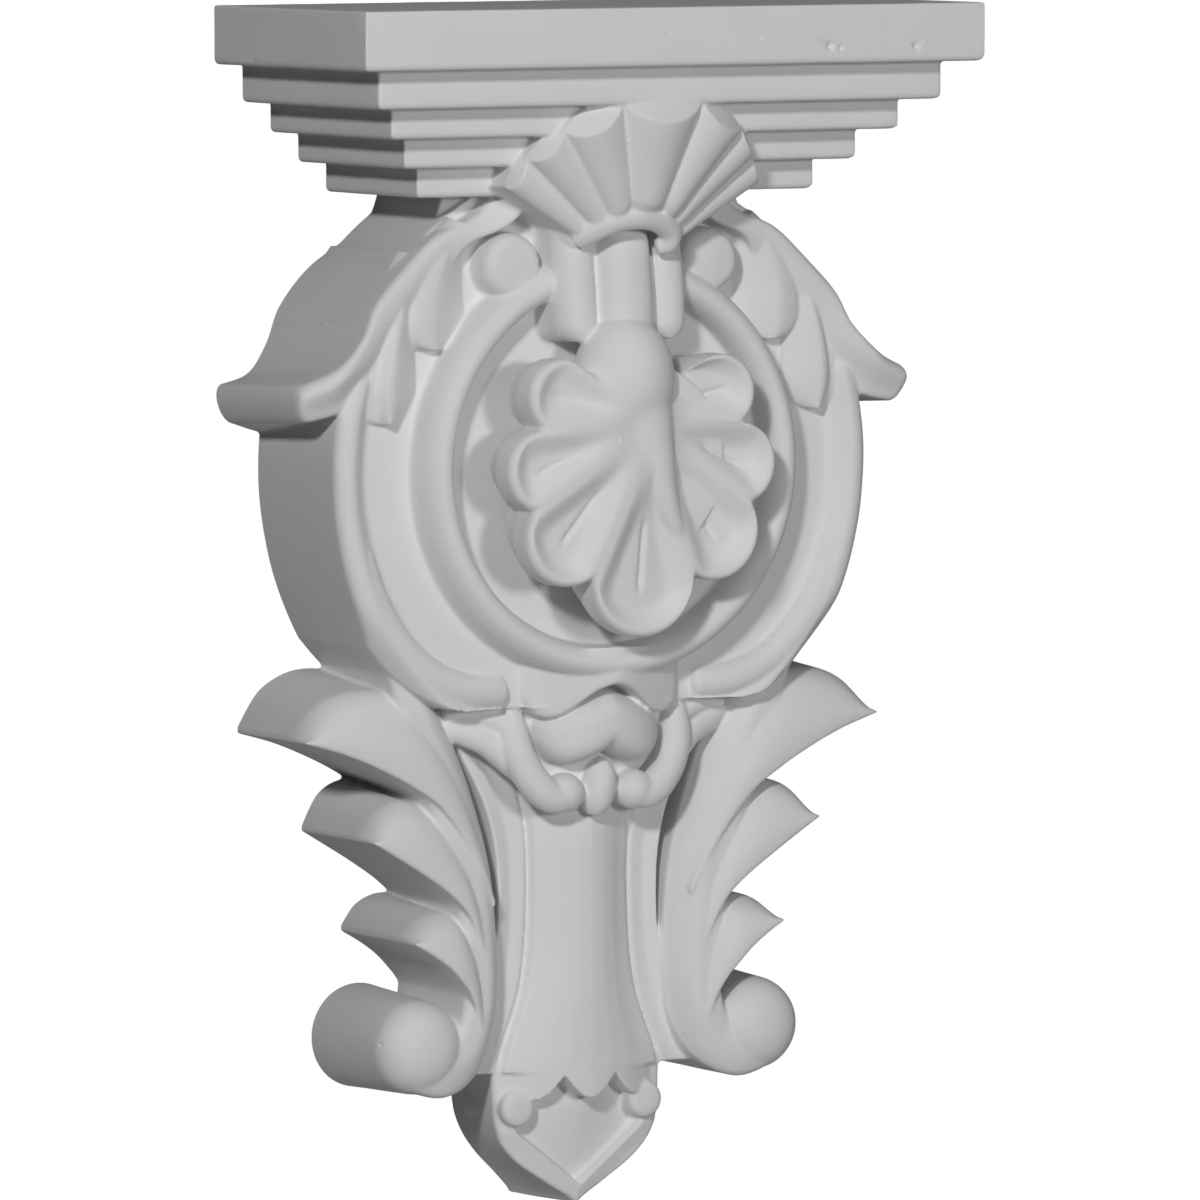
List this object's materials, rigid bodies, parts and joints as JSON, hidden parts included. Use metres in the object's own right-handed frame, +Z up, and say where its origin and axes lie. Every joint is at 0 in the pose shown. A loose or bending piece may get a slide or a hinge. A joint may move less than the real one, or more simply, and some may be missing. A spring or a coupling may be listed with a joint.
{
  "type": "leaf corbel",
  "caption": "Moulded wall corbel: a stepped crown over a round drum with a shell leaf in a ring, leaf scrolls at the sides and a pointed drop.",
  "frame": {"origin": "on the flat wall face, on the centre line, at half the height", "axes": "+X along the wall to the right as seen from the front, +Y into the wall, +Z up"},
  "size_m": [0.205, 0.091, 0.3518],
  "materials": {
    "primed_foam": "rigid polyurethane foam moulding, factory primed matte white, with fine pinholes and softly rounded edges"
  },
  "bodies": {
    "root": {"corbel": "primed_foam"}
  },
  "joints": []
}
